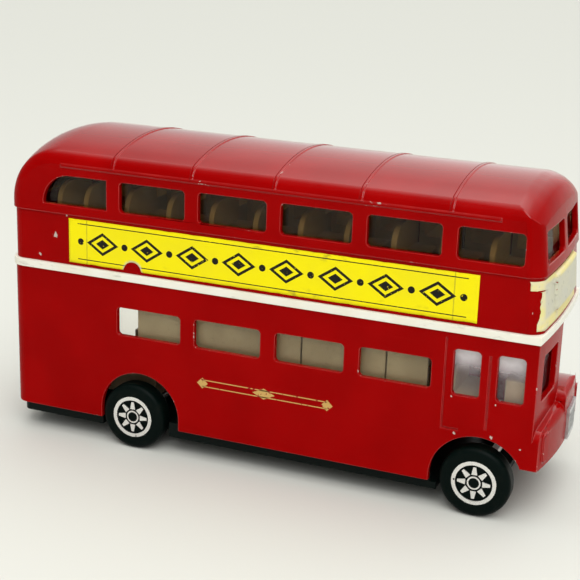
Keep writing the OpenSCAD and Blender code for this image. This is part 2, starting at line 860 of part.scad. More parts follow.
module upper_glazing() {
  out = wall + seat_gap;
  color(clear_glass)
    intersection() {
      difference() {
        upper_solid(out, band_top);
        upper_solid(out + glaze_t, band_top - cut);
      }
      block([rear_x, -bus_w, ledge_z], [far_x, bus_w, sill_z + upper_win_h + glaze_over]);
    }
}

module lower_glazing() {
  out = low_in - seat_gap;
  x0 = lower_x - glaze_over;
  x1 = bulkhead_x - wall - seat_gap;
  z0 = lower_sill_z - glaze_over;
  z1 = lower_sill_z + lower_win_h + glaze_over;
  color(clear_glass)
    difference() {
      block([x0, -out, z0], [x1, out, z1]);
      block([x0 - cut, -out + glaze_t, z0 - cut], [x1 - glaze_t, out - glaze_t, z1 + cut]);
      block([x1 - 2 * glaze_t, -out - cut, z0 - cut], [x1 + cut, -cab_side - wall, z1 + cut]);
    }
}

module cab_glazing() {
  y0 = -low_in + seat_gap;
  y1 = -cab_side - wall - seat_gap;
  x0 = bulkhead_x + wall / 2;
  x1 = cab_x - wall - seat_gap - bow_sag;
  z0 = cab_win_z - glaze_over / 2;
  z1 = cab_win_z + cab_win_h + glaze_over / 2;
  color(clear_glass)
    difference() {
      block([x0, y0, z0], [x1, y1, z1]);
      block([x0 - cut, y0 + glaze_t, z0 - cut], [x1 - glaze_t, y1 - glaze_t, z1 + cut]);
    }
}

module rivet_places() {
  for (x = [rivet_front_x, rivet_rear_x])
    translate([x, 0, base_z - pad_t]) children();
}

module base_plate() {
  top = base_z + base_t;
  rim_top = skirt_z + base_rim_h;
  well_x = tyre_d / 2 + wheel_gap;
  well_y = wheel_in - wheel_gap;
  color(base_black)
    difference() {
      union() {
        intersection() {
          plan_solid(half_w - base_half, base_z, top);
          block([rear_x, -bus_w, 0], [base_front_x, bus_w, bus_h]);
        }
        intersection() {
          difference() {
            plan_solid(half_w - base_half, base_z, rim_top);
            plan_solid(half_w - base_half + base_rim_t, 0, bus_h);
          }
          block([rear_x, -bus_w, 0], [front_arch_x - front_arch_r, bus_w, bus_h]);
        }
        block([rear_x + dome_r / 2, -pad_w / 2, base_z - pad_t], [base_front_x - pad_margin, pad_w / 2, top]);
        for (x = [rear_axle_x, front_axle_x], s = [0, 1])
          mirror([0, s, 0])
            block([x - bearing_half, well_y - bearing_w, base_z],
              [x + bearing_half, well_y, wheel_z + bearing_half]);
      }
      for (x = [rear_axle_x, front_axle_x]) {
        for (s = [0, 1])
          mirror([0, s, 0]) block([x - well_x, well_y, -cut], [x + well_x, bus_w, bus_h]);
        translate([x, 0, wheel_z])
          rotate([90, 0, 0]) cylinder(r = axle_d / 2 + axle_clear, h = bus_w, center = true);
      }
      rivet_places() {
        translate([0, 0, -cut]) cylinder(d = rivet_head_d + 2 * seat_gap, h = rivet_head_t + seat_gap + cut);
        cylinder(d = rivet_d + 2 * seat_gap, h = bus_h);
      }
    }
}

module base_rivets() {
  color(steel)
    rivet_places()
      translate([0, 0, seat_gap]) {
        cylinder(d = rivet_head_d, h = rivet_head_t);
        cylinder(d = rivet_d, h = pad_t + base_t + rivet_depth - 2 * seat_gap);
      }
}

module axle(x) {
  color(steel)
    translate([x, 0, wheel_z])
      rotate([90, 0, 0]) cylinder(d = axle_d, h = 2 * axle_half, center = true);
}

module front_axle() {
  axle(front_axle_x);
}

module rear_axle() {
  axle(rear_axle_x);
}

// One hub spoke, tapering outwards
module spoke() {
  polygon([[spoke_root_r, -spoke_root_w / 2], [spoke_tip_r, -spoke_tip_w / 2],
    [spoke_tip_r, spoke_tip_w / 2], [spoke_root_r, spoke_root_w / 2]]);
}

// Wheel on its own axis, outer face up at the given width
module wheel_solid() {
  r = tyre_d / 2;
  floor_h = wheel_w - hub_sink;
  difference() {
    union() {
      rotate_extrude()
        intersection() {
          square([r, wheel_w]);
          translate([-r, 0]) pane(2 * r, wheel_w, tyre_round);
        }
      cylinder(r = hub_r, h = wheel_w);
    }
    difference() {
      translate([0, 0, floor_h]) cylinder(r = hub_r - ring_w, h = wheel_w);
      cylinder(r = cap_r, h = floor_h + spoke_h);
      linear_extrude(floor_h + spoke_h)
        for (i = [0:hub_spokes - 1])
          rotate(90 + i * 360 / hub_spokes) spoke();
    }
    translate([0, 0, -cut]) cylinder(d = axle_d, h = cut + wheel_w - hub_floor);
  }
}

module wheel(x, side) {
  color(base_black)
    translate([x, side * wheel_in, wheel_z])
      rotate([-90 * side, 0, 0]) wheel_solid();
}

module wheel_front_offside() {
  wheel(front_axle_x, -1);
}

module wheel_front_nearside() {
  wheel(front_axle_x, 1);
}

module wheel_rear_offside() {
  wheel(rear_axle_x, -1);
}

module wheel_rear_nearside() {
  wheel(rear_axle_x, 1);
}

module side_label() {
  margin = (ledge_z - band_top - label_h) / 2;
  x0 = rear_x + label_start;
  z0 = band_top + margin;
  block([x0, -panel_half - label_t, z0], [x0 + label_len, -panel_half, z0 + label_h]);
}

module offside_label() {
  color(label_yellow) side_label();
}

module nearside_label() {
  color(label_yellow) mirror([0, 1, 0]) side_label();
}

module front_label() {
  color(deck_white)
    difference() {
      front_box(box_proud + label_t, wall / 4);
      front_box(box_proud, 0);
    }
}

module radiator_grille() {
  bars = 7;
  z0 = valance_z + wall / 4;
  z1 = wing_z - nose_r;
  gap = grille_w / (2 * bars + 1);
  color(steel)
    difference() {
      intersection() {
        nose_disc(bus_h, grille_t);
        block([cab_x, bonnet_y - grille_w / 2, z0], [far_x, bonnet_y + grille_w / 2, z1]);
      }
      nose_disc(bus_h, 0);
      for (i = [0:bars - 1])
        block([nose_x, bonnet_y - grille_w / 2 + gap * (2 * i + 1), z0 + 2 * gap],
          [far_x, bonnet_y - grille_w / 2 + gap * (2 * i + 2), z1 - 2 * gap]);
    }
}

module steering_wheel() {
  color(base_black)
    translate([steer_x, cab_mid_y, dash_z]) {
      cylinder(r = steer_wire, h = steer_rise);
      translate([0, 0, steer_rise]) {
        rotate_extrude() translate([steer_r, 0]) circle(steer_wire);
        for (a = [0, 90])
          rotate(a) translate([-steer_r, -steer_wire / 2, -steer_wire / 2])
            cube([2 * steer_r, steer_wire, steer_wire]);
      }
    }
}

upper_body();
lower_body();
upper_deck();
lower_deck();
upper_glazing();
lower_glazing();
cab_glazing();
base_plate();
base_rivets();
front_axle();
rear_axle();
wheel_front_offside();
wheel_front_nearside();
wheel_rear_offside();
wheel_rear_nearside();
offside_label();
nearside_label();
front_label();
radiator_grille();
steering_wheel();
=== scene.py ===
"""Looks of a used die-cast toy bus: enamel, plastic, paper labels, foil hubs and a pale studio."""

import json
import math

import bpy
from mathutils import Matrix, Vector, noise
from mathutils.bvhtree import BVHTree


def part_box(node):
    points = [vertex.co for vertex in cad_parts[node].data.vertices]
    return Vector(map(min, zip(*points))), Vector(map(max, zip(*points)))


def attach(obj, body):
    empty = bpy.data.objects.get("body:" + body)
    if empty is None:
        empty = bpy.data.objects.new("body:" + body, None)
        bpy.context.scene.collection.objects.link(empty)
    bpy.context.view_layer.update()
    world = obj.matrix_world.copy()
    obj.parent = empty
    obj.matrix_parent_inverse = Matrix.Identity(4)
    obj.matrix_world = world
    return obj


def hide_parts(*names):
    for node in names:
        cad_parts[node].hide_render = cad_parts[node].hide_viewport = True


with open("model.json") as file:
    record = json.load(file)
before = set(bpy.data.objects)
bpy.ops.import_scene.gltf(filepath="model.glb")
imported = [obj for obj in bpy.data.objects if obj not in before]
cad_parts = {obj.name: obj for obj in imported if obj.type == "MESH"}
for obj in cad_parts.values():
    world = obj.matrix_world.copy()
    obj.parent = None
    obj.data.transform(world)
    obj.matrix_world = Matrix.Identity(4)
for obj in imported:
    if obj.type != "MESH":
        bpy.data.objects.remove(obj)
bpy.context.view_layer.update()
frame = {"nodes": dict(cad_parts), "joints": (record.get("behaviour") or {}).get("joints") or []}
nodes = frame["nodes"]
MM = 0.001

# Photograph's camera, in millimetres, degrees and pixels of the square frame
FRAME_PX = 580
CAMERA_AT = (107.27, -267.79, 125.27)
CAMERA_TURN, CAMERA_TILT, CAMERA_ROLL = 21.04, 16.83, 2.12
FOCAL_PX = 1350.1
CENTRE_PX = (310.01, 285.01)
SENSOR_MM = 36
NEAR_M, FAR_M = 0.01, 50

# Colours as linear red, green and blue
DEEP_RED = (0.275, 0.0002, 0.0004, 1)
BRIGHT_RED = (0.320, 0.0006, 0.0008, 1)
# THIN_AND_SHEEN_RED is thin, rubbed enamel; on the edge finish it also serves as a painted highlight.
THIN_AND_SHEEN_RED = (0.520, 0.0200, 0.0160, 1)
BARE_ZINC = (0.560, 0.470, 0.420, 1)
TRIM_WHITE = (0.860, 0.845, 0.750, 1)
TRIM_AGED = (0.780, 0.720, 0.560, 1)
SEAT_CREAM = (0.400, 0.320, 0.190, 1)
SEAT_SHADE = (0.320, 0.250, 0.145, 1)
LABEL_YELLOW = (0.920, 0.800, 0.002, 1)
LABEL_FADED = (0.860, 0.740, 0.010, 1)
PRINT_BLACK = (0.012, 0.011, 0.009, 1)
PAPER_CORE = (0.700, 0.660, 0.560, 1)
PAPER_AGED = (0.780, 0.690, 0.290, 1)
PAPER_GREY = (0.560, 0.560, 0.500, 1)
SOOT = (0.060, 0.050, 0.035, 1)
RUBBER_BLACK = (0.0012, 0.0042, 0.0034, 1)
FOIL_SILVER = (0.840, 0.840, 0.820, 1)
GOLD_LEAF = (0.640, 0.400, 0.120, 1)
STEEL_BRIGHT = (0.55, 0.54, 0.52, 1)
RUST = (0.20, 0.11, 0.06, 1)
PLATE_BRIGHT = (0.56, 0.56, 0.57, 1)
PLATE_DULL = (0.16, 0.14, 0.13, 1)
CLEAR_TINT = (0.97, 0.965, 0.94, 1)
DUSKY_TINT = (0.66, 0.58, 0.43, 1)
# The cab glass's white towards its head is painted brightness of the pale room behind the cab.
CAB_GLASS_MAUVE = (0.55, 0.48, 0.50, 1)
PAINTED_ROOM_WHITE = (0.86, 0.84, 0.86, 1)
FLOOR_PALE = (0.630, 0.635, 0.595, 1)
ROOM_WHITE = (1.0, 1.0, 0.97, 1)
HORIZON = (0.78, 0.78, 0.72, 1)


class Value:
    """A number, colour or vector inside a finish, so that sums on it read as plain Python."""

    def __init__(self, finish, socket):
        self.finish = finish
        self.socket = socket

    def other(self, output):
        return Value(self.finish, self.socket.node.outputs[output])

    def math(self, operation, *terms):
        return self.finish.node("ShaderNodeMath", {"operation": operation}, dict(enumerate(terms)))

    def __add__(self, term):
        return self.math("ADD", self, term)

    def __sub__(self, term):
        return self.math("SUBTRACT", self, term)

    def __rsub__(self, term):
        return self.math("SUBTRACT", term, self)

    def __mul__(self, term):
        return self.math("MULTIPLY", self, term)

    def __truediv__(self, term):
        return self.math("DIVIDE", self, term)

    def __pow__(self, term):
        return self.math("POWER", self, term)

    def __mod__(self, term):
        return self.math("FLOORED_MODULO", self, term)

    def __abs__(self):
        return self.math("ABSOLUTE", self)

    def __lt__(self, term):
        return self.math("LESS_THAN", self, term)

    def __gt__(self, term):
        return self.math("GREATER_THAN", self, term)

    __radd__ = __add__
    __rmul__ = __mul__

    def either(self, term):
        return self.math("MAXIMUM", self, term)

    def both(self, term):
        return self.math("MINIMUM", self, term)

    def rise(self, low, high):
        """0 below low, 1 above high and an even curve between; the other way round if low is larger."""
        ends = {"Value": self, "From Min": low, "From Max": high}
        return self.finish.node("ShaderNodeMapRange", {"interpolation_type": "SMOOTHSTEP"}, ends)


class Finish:
    """One surface finish: a material and the nodes that feed its shader."""

    def __init__(self, name, owner=None):
        self.material = owner or bpy.data.materials.new(name)
        self.material.use_nodes = True
        self.tree = self.material.node_tree
        self.tree.nodes.clear()
        self.place = self.vector("SCALE", self.node("ShaderNodeTexCoord", output="Object"), scale=1 / MM)

    def feed(self, socket, value):
        if isinstance(value, Value):
            self.tree.links.new(value.socket, socket)
        else:
            socket.default_value = value

    def node(self, kind, settings=None, sockets=None, output=0):
        made = self.tree.nodes.new(kind)
        for key, setting in (settings or {}).items():
            setattr(made, key, setting)
        for key, value in (sockets or {}).items():
            self.feed(made.inputs[key], value)
        return Value(self, made.outputs[output])

    def vector(self, operation, *terms, scale=None, output=0):
        sockets = dict(enumerate(terms))
        if scale is not None:
            sockets["Scale"] = scale
        return self.node("ShaderNodeVectorMath", {"operation": operation}, sockets, output)

    def axes(self):
        x = self.node("ShaderNodeSeparateXYZ", None, {0: self.place})
        return x, x.other("Y"), x.other("Z")

    def mix(self, mask, base, over):
        return self.node("ShaderNodeMix", {"data_type": "RGBA"}, {0: mask, 6: base, 7: over}, 2)

    def grain(self, size, detail=2, stretch=(1, 1, 1)):
        """Even noise whose spots are about size millimetres across, longer where stretch is larger."""
        at = self.vector("DIVIDE", self.place, tuple(size * s for s in stretch))
        return self.node("ShaderNodeTexNoise", None, {"Vector": at, "Scale": 1, "Detail": detail})

    def spots(self, pitch, radius):
        """Round spots about pitch millimetres apart."""
        at = self.vector("DIVIDE", self.place, (pitch, pitch, pitch))
        far = self.node("ShaderNodeTexVoronoi", None, {"Vector": at, "Scale": 1, "Randomness": 1})
        return (far * pitch).rise(radius, radius / 2)

    def near(self, point, radius, ragged=1.5):
        """A ragged patch about a point, in millimetres."""
        far = self.vector("DISTANCE", self.place, point, output="Value")
        torn = (self.grain(radius * 0.9, 4, (1, 1, 2.2)) - 0.5) * (2 * ragged * radius)
        return (far + torn).rise(radius, radius * 0.85)

    def bump(self, height, depth):
        """Height from 0 to 1 stands for depth millimetres."""
        return self.node("ShaderNodeBump", None, {"Strength": 1, "Distance": depth * MM, "Height": height})

    def shade(self, surface, output="ShaderNodeOutputMaterial"):
        self.feed(self.tree.nodes.new(output).inputs["Surface"], surface)
        return self.material

    def coat(self, **sockets):
        """Closes the finish with one plain shader; a socket's name has _ for its spaces."""
        named = {key.replace("_", " "): value for key, value in sockets.items()}
        return self.shade(self.node("ShaderNodeBsdfPrincipled", None, named))


# Scars of the enamel: where each one is, in millimetres, and its radius
UPPER_SCARS = (
    ((-49.4, -18.5, 47.3), 0.56),
    ((-53.5, -18.5, 42.4), 0.37),
    ((-46.4, -18.6, 52.2), 0.31),
    ((52.1, -18.7, 52.3), 0.25),
    ((58.1, -18.5, 45.4), 0.31),
    ((31.5, 18.5, 47.0), 0.62),
    ((-57.0, 12.0, 52.4), 0.56),
    ((41.5, 18.8, 52.4), 0.37),
)
LOWER_SCARS = (
    ((44.1, -18.8, 17.7), 0.37),
    ((51.8, -18.8, 18.2), 0.28),
    ((57.9, -18.8, 16.7), 0.19),
    ((43.0, -18.8, 25.6), 0.19),
    ((52.2, -18.8, 25.3), 0.19),
    ((-18.5, 18.8, 17.5), 0.50),
    ((-58.5, 0.0, 8.0), 0.74),
    ((63.5, 8.0, 13.0), 0.50),
)

# How far the enamel faces up where the handled sides pass into the glossy roof, and its gloss
GLOSS_FROM_TO = (0.66, 0.97)
ROOF_GLOSS = 0.9


def red_enamel(name, scars):
    """Stoved enamel on a zinc casting: deep red, glossiest on the roof, scarred down to the metal."""
    f = Finish(name)
    cloud = f.grain(14, 3)
    peel = f.grain(0.7, 2)
    rub = f.grain(2.5, 3, (6, 6, 0.3)).rise(0.62, 0.78) * 0.25
    scar = f.spots(11, 0.16) * f.grain(17, 1).rise(0.5, 0.6)
    for point, radius in scars:
        scar = scar.either(f.near(point, radius))
    red = f.mix(cloud.rise(0.3, 0.7), DEEP_RED, BRIGHT_RED)
    red = f.mix(rub * 0.25, red, THIN_AND_SHEEN_RED)
    facing = f.node("ShaderNodeTexCoord", output="Normal")
    upward = f.node("ShaderNodeSeparateXYZ", None, {0: facing}, "Z")
    return f.coat(
        Base_Color=f.mix(scar, red, BARE_ZINC),
        Metallic=scar * 0.4,
        Roughness=0.16 + cloud * 0.06 + rub * 0.2 + scar * 0.3,
        Specular_IOR_Level=0.03,
        Coat_Weight=upward.rise(*GLOSS_FROM_TO) * (1 - scar) * ROOF_GLOSS,
        Coat_Roughness=0.05,
        Normal=f.bump(peel * 0.35 - scar, 0.02),
    )


def edge_enamel_and_sheen(name):
    """The same enamel where it drew thin over the casting's edges, chipped here and there; its lighter,
    pinker red is partly thin paint and partly a painted highlight along every edge.
    """
    f = Finish(name)
    chip = f.grain(0.9, 4).rise(0.60, 0.63) * f.grain(9, 2).rise(0.58, 0.66)
    thin_and_sheen = f.grain(4, 2).rise(0.4, 0.8) * 0.35
    return f.coat(
        # Every edge is painted lighter and pinker: partly the thin enamel there, partly a painted
        # highlight.
        Base_Color=f.mix(chip, f.mix(thin_and_sheen, BRIGHT_RED, THIN_AND_SHEEN_RED), BARE_ZINC),
        Metallic=chip * 0.4,
        Roughness=0.12 + chip * 0.3,
        Specular_IOR_Level=0.40,
        Normal=f.bump(0 - chip, 0.02),
    )


def trim_plastic():
    """Off-white moulding of the waist band and the upper seats, a little yellowed and handled."""
    f = Finish("trim_plastic")
    aged = f.grain(9, 3).rise(0.35, 0.75)
    dirt = f.grain(1.4, 4, (3, 1, 1)).rise(0.60, 0.80)
    white = f.mix(aged * 0.55, TRIM_WHITE, TRIM_AGED)
    return f.coat(
        Base_Color=f.mix(dirt * 0.35, white, SOOT),
        Roughness=0.34 + aged * 0.12,
        Specular_IOR_Level=0.35,
        Normal=f.bump(f.grain(0.5, 2), 0.008),
    )


def saloon_plastic():
    """Cream moulding of the lower saloon."""
    f = Finish("saloon_plastic")
    cloud = f.grain(7, 3)
    dust = f.grain(1.1, 4).rise(0.55, 0.8)
    cream = f.mix(cloud.rise(0.3, 0.7), SEAT_CREAM, SEAT_SHADE)
    return f.coat(
        Base_Color=f.mix(dust * 0.2, cream, SOOT),
        Roughness=0.45 + dust * 0.2,
        Specular_IOR_Level=0.3,
        Normal=f.bump(f.grain(0.6, 2), 0.01),
    )


def window_plastic(name, tint):
    """Thin clear glazing with a tint and a little haze."""
    f = Finish(name)
    haze = f.grain(5, 4).rise(0.5, 0.9)
    clear = f.node("ShaderNodeBsdfTransparent", None, {"Color": tint})
    gloss = f.node("ShaderNodeBsdfGlossy", None, {"Color": (1, 1, 1, 1), "Roughness": 0.04})
    mirror = f.node("ShaderNodeFresnel", None, {"IOR": 1.35}) * 0.5 + haze * 0.01
    return f.shade(f.node("ShaderNodeMixShader", None, {0: mirror, 1: clear, 2: gloss}))


# Heights, in millimetres, between which the cab glazing turns to painted brightness of the pale room
# behind the cab
PAINTED_BRIGHT_FROM_TO = (29.5, 36.5)


def cab_glass_painted_bright():
    """Cab glazing, clear at its foot and turning white towards its head: painted brightness of the pale
    room seen through the cab.
    """
    f = Finish("cab_glass_painted_bright")
    height = f.axes()[2] + (f.grain(2.5, 3) - 0.5) * 2
    # Painted brightness: the pale room behind the cab is painted on the glass, whiter and more opaque
    # towards its head.
    cloud = height.rise(*PAINTED_BRIGHT_FROM_TO)
    return f.coat(
        Base_Color=f.mix(cloud, CAB_GLASS_MAUVE, PAINTED_ROOM_WHITE),
        Alpha=0.10 + cloud * 0.80,
        Roughness=0.12 + f.grain(1.2, 3) * 0.08,
        Specular_IOR_Level=0.4,
        Normal=f.bump(f.grain(1.5, 2), 0.01),
    )


def base_plastic():
    """Satin black of the base plate."""
    f = Finish("base_plastic")
    rub = f.grain(3, 4, (4, 1, 1)).rise(0.55, 0.8)
    return f.coat(
        Base_Color=f.mix(rub * 0.10, RUBBER_BLACK, SOOT),
        Roughness=0.42 + rub * 0.25,
        Specular_IOR_Level=0.10,
        Normal=f.bump(f.grain(0.4, 2), 0.02),
    )


def drawn_steel():
    """Bare steel of the axles and rivets."""
    f = Finish("drawn_steel")
    line = f.grain(0.3, 2, (1, 12, 1))
    rust = f.grain(1.5, 4).rise(0.62, 0.8)
    return f.coat(
        Base_Color=f.mix(rust * 0.6, STEEL_BRIGHT, RUST),
        Metallic=1 - rust * 0.6,
        Roughness=0.25 + line * 0.15 + rust * 0.3,
        Normal=f.bump(line, 0.004),
    )


# Hot foil on the wheels, in millimetres: outer ring, bare middle and how far out it was pressed
FOIL_RING_R = 4.75
FOIL_BARE_R = 1.12
FOIL_OUT = 18.8


def wheel_plastic():
    """Black moulded wheels with silver foil pressed on the raised star and ring."""
    f = Finish("wheel_plastic")
    x, y, z = f.axes()
    rear_x, front_x = sorted(joint["pos_m"][0] / MM for joint in frame["joints"])
    hub_z = frame["joints"][0]["pos_m"][2] / MM
    across = x - rear_x - (x > (rear_x + front_x) / 2) * (front_x - rear_x)
    up = z - hub_z
    r = (across * across + up * up) ** 0.5
    wear = (f.grain(0.55, 3) - 0.5) * 0.5
    pressed = (abs(y) > FOIL_OUT) * (r + wear * 0.35 < FOIL_RING_R) * (r > FOIL_BARE_R)
    rubbed = f.grain(1.1, 4).rise(0.66, 0.72)
    foil = (pressed - rubbed).rise(0.2, 0.6)
    scuff = f.grain(2, 4).rise(0.5, 0.8)
    return f.coat(
        Base_Color=f.mix(foil, f.mix(scuff * 0.05, RUBBER_BLACK, SOOT), FOIL_SILVER),
        Metallic=foil * 0.9,
        Roughness=0.38 + scuff * 0.15 - foil * 0.12,
        Specular_IOR_Level=0.05,
        Normal=f.bump(f.grain(0.35, 2) * 0.4 + foil * 0.4, 0.012),
    )


def bright_grille():
    """Plated grille gone dull in random patches."""
    f = Finish("bright_grille")
    dull = f.grain(0.8, 4).rise(0.4, 0.75)
    return f.coat(
        Base_Color=f.mix(dull * 0.5, PLATE_BRIGHT, PLATE_DULL),
        Metallic=0.9,
        Roughness=0.28 + dull * 0.3,
        Normal=f.bump(dull, 0.01),
    )


# Adverts: torn notch, its scraped rim, creases and the printed lozenges, in millimetres
NOTCH_X, NOTCH_HALF, NOTCH_H = -30.1, 2.1, 1.9
NOTCH_RIM = 1.0
CREASES_X = (-41.4, 42.1)
RULE_MARGIN, RULE_W = 1.0, 0.22
LOZENGES, LOZENGE_LONG, LOZENGE_TALL = 8, 3.9, 2.6
PEARL_R = 0.75
PRINT_MARGIN = 3.0


def advert_print(label, torn):
    """Yellow printed paper: lozenges and pearls between two rules, faded, creased and smudged."""
    low, high = (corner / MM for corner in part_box(label))
    f = Finish(label + "_print")
    x, _, z = f.axes()
    mid_x, mid_z = (low.x + high.x) / 2, (low.z + high.z) / 2
    half_print = (high.x - low.x) / 2 - PRINT_MARGIN
    pitch = 2 * half_print / LOZENGES
    along = abs((x - mid_x) % pitch - pitch / 2)
    up = abs(z - mid_z)
    lozenge = along / LOZENGE_LONG + up / LOZENGE_TALL
    drawn = (lozenge < 1) - (lozenge < 0.72) + (lozenge < 0.42)
    gap = along - pitch / 2
    pearl = (gap * gap + up * up) ** 0.5 < PEARL_R
    inside = abs(x - mid_x) < half_print + PEARL_R
    rule = abs(up - (high.z - low.z) / 2 + RULE_MARGIN) < RULE_W / 2
    ink = drawn.either(pearl).either(rule) * inside * (1 - f.grain(0.5, 3).rise(0.66, 0.74))
    fade = f.grain(9, 4).rise(0.35, 0.75)
    smudge = f.grain(2.2, 4, (2, 1, 1)).rise(0.62, 0.76) * (up / (high.z - mid_z)).rise(0.45, 1)
    crease = abs(x - CREASES_X[0]).both(abs(x - CREASES_X[1])) + f.grain(1, 2) * 0.2
    # The paper is darker along its two creases, and dented there.
    fold = crease.rise(0.32, 0.12) * 0.4
    dx, dz = x - NOTCH_X, z - low.z
    halo = (dx * dx + dz * dz) ** 0.5 + f.grain(0.8, 3) * 0.8
    scraped = halo.rise(NOTCH_HALF + NOTCH_RIM, NOTCH_HALF + 0.1) * float(torn)
    paper = f.mix(fade, LABEL_YELLOW, LABEL_FADED)
    paper = f.mix(ink, paper, PRINT_BLACK)
    paper = f.mix(smudge * 0.55 + fold, paper, SOOT)
    return f.coat(
        Base_Color=f.mix(scraped, paper, PAPER_CORE),
        Roughness=0.34 + fade * 0.15 + scraped * 0.3,
        Specular_IOR_Level=0.10,
        Normal=f.bump(f.grain(0.4, 2) * 0.3 - fold - scraped * 0.4, 0.02),
    )


# Where the print wore off the old front label, across and up, and the half size of that patch
WORN_AT = (-1.5, 47.2)
WORN_HALF_W, WORN_HALF_H = (15.5, 13.5), (3.9, 3.1)


def aged_paper():
    """Cream paper left of an old front label: yellow at its edges, greyer where the print wore off."""
    f = Finish("aged_paper")
    _, y, z = f.axes()
    worn = f.grain(2.4, 4, (1, 2, 1)).rise(0.40, 0.62)
    middle = abs(y - WORN_AT[0]).rise(*WORN_HALF_W) * abs(z - WORN_AT[1]).rise(*WORN_HALF_H)
    stain = f.grain(1.2, 4).rise(0.60, 0.74)
    paper = f.mix(worn * 0.5, PAPER_AGED, PAPER_CORE)
    paper = f.mix(middle * 0.8, paper, PAPER_GREY)
    return f.coat(
        Base_Color=f.mix(stain * 0.3, paper, SOOT),
        Roughness=0.55 + worn * 0.2,
        Specular_IOR_Level=0.2,
        Normal=f.bump(f.grain(0.6, 4) * 0.6 + worn * 0.4, 0.04),
    )


def gold_leaf():
    """Thin gold coach line, rubbed through in places."""
    f = Finish("gold_leaf")
    rubbed = f.grain(0.9, 4).rise(0.56, 0.62)
    return f.coat(
        Base_Color=f.mix(rubbed, GOLD_LEAF, DEEP_RED),
        Metallic=0.5 - rubbed * 0.5,
        Roughness=0.32 + rubbed * 0.1,
        Normal=f.bump(f.grain(0.4, 2), 0.008),
    )


def steering_black():
    """Gloss black of the steering wheel."""
    f = Finish("steering_black")
    rub = f.grain(0.8, 3).rise(0.5, 0.8)
    return f.coat(
        Base_Color=f.mix(rub * 0.3, RUBBER_BLACK, SOOT),
        Roughness=0.25 + rub * 0.2,
        Normal=f.bump(rub, 0.006),
    )


# Softened edges: corners that are joined, in millimetres, and angles in degrees
JOIN_WITHIN = 0.002
FLAT_WITHIN, ROUND_OVER = 0.05, 34
ROUND_STEPS = 2


def soften(name, width):
    """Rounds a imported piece's edges by width millimetres, as casting and paint leave them."""
    piece = nodes[name]
    weld = piece.modifiers.new("join_corners", "WELD")
    weld.merge_threshold = JOIN_WITHIN * MM
    flat = piece.modifiers.new("clear_flats", "DECIMATE")
    flat.decimate_type = "DISSOLVE"
    flat.angle_limit = math.radians(FLAT_WITHIN)
    edge = piece.modifiers.new("round_edges", "BEVEL")
    edge.width = width * MM
    edge.segments = ROUND_STEPS
    edge.limit_method = "ANGLE"
    edge.angle_limit = math.radians(ROUND_OVER)
    edge.use_clamp_overlap = False
    edge.material = len(piece.data.materials) - 1
    even = piece.modifiers.new("even_shading", "WEIGHTED_NORMAL")
    even.keep_sharp = True


def dress(name, *finishes):
    """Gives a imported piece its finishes; the last one also covers its rounded edges."""
    slots = nodes[name].data.materials
    slots.clear()
    for finish in finishes:
        slots.append(finish)


def ruled_sheet(name, lines, finish, thick):
    """A thin sheet between neighbouring lines of points, given in metres, riding on the bus."""
    across = len(lines[0])
    corners = [point for line in lines for point in line]
    faces = [
        (i * across + j, (i + 1) * across + j, (i + 1) * across + j + 1, i * across + j + 1)
        for i in range(len(lines) - 1)
        for j in range(across - 1)
    ]
    mesh = bpy.data.meshes.new(name)
    mesh.from_pydata(corners, [], faces)
    mesh.polygons.foreach_set("use_smooth", [True] * len(faces))
    piece = bpy.data.objects.new(name, mesh)
    bpy.context.scene.collection.objects.link(piece)
    body = piece.modifiers.new("paper", "SOLIDIFY")
    body.thickness = thick * MM
    body.offset = -1
    mesh.materials.append(finish)
    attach(piece, "bus")
    return piece


def ragged(seed, along, rough):
    """A steady small wander of an edge, in millimetres, at a place along it."""
    coarse = noise.noise((along * 0.45, seed, 0.5))
    return rough * (coarse + 0.5 * noise.noise((along * 2.3, seed, 4.5)))


# Paper: thickness, height over the enamel and the mesh of a side label, in millimetres
PAPER_T = 0.08
PAPER_LIFT = 0.05
ADVERT_STEP = 0.5
ADVERT_ROWS = 14


def advert(label, side, torn):
    """One printed side label, cut straight, rubbed along its edges and torn once where torn is set."""
    low, high = (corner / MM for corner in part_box(label))
    face_y = low.y if side < 0 else high.y
    steps = round((high.x - low.x) / ADVERT_STEP)
    lines = []
    for i in range(steps + 1):
        x = low.x + (high.x - low.x) * i / steps
        foot = low.z + max(0, ragged(2 + side, x, 0.12))
        head = high.z - max(0, ragged(7 + side, x, 0.10))
        bite = 1 - ((x - NOTCH_X) / NOTCH_HALF) ** 2
        if torn and bite > 0:
            foot = low.z + NOTCH_H * math.sqrt(bite) + ragged(5, x * 3, 0.25)
        wave = ragged(9, x * 0.4, 0.015)
        lines.append([
            (x * MM, (face_y - side * wave) * MM, (foot + (head - foot) * j / ADVERT_ROWS) * MM)
            for j in range(ADVERT_ROWS + 1)
        ])
    if side > 0:
        lines.reverse()
    piece = ruled_sheet(label + "_sheet", lines, advert_print(label, torn), PAPER_T)
    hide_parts(label)


# Old front label: sweep of rays that finds the panel, and how far it reaches, in millimetres
SWEEP_AT = (47.5, -8.0)
SWEEP_FROM, SWEEP_TO = -48.5, 56.0
SWEEP_STEPS = 150
SWEEP_OUT = 60
FRONT_FOOT, FRONT_HEAD, FRONT_ROWS = 41.6, 51.7, 22
TAB_Z, TAB_X = 49.7, 56.9
STRIP_X = 59.05
FRONT_END_Y, FRONT_START_Y = 16.6, -17


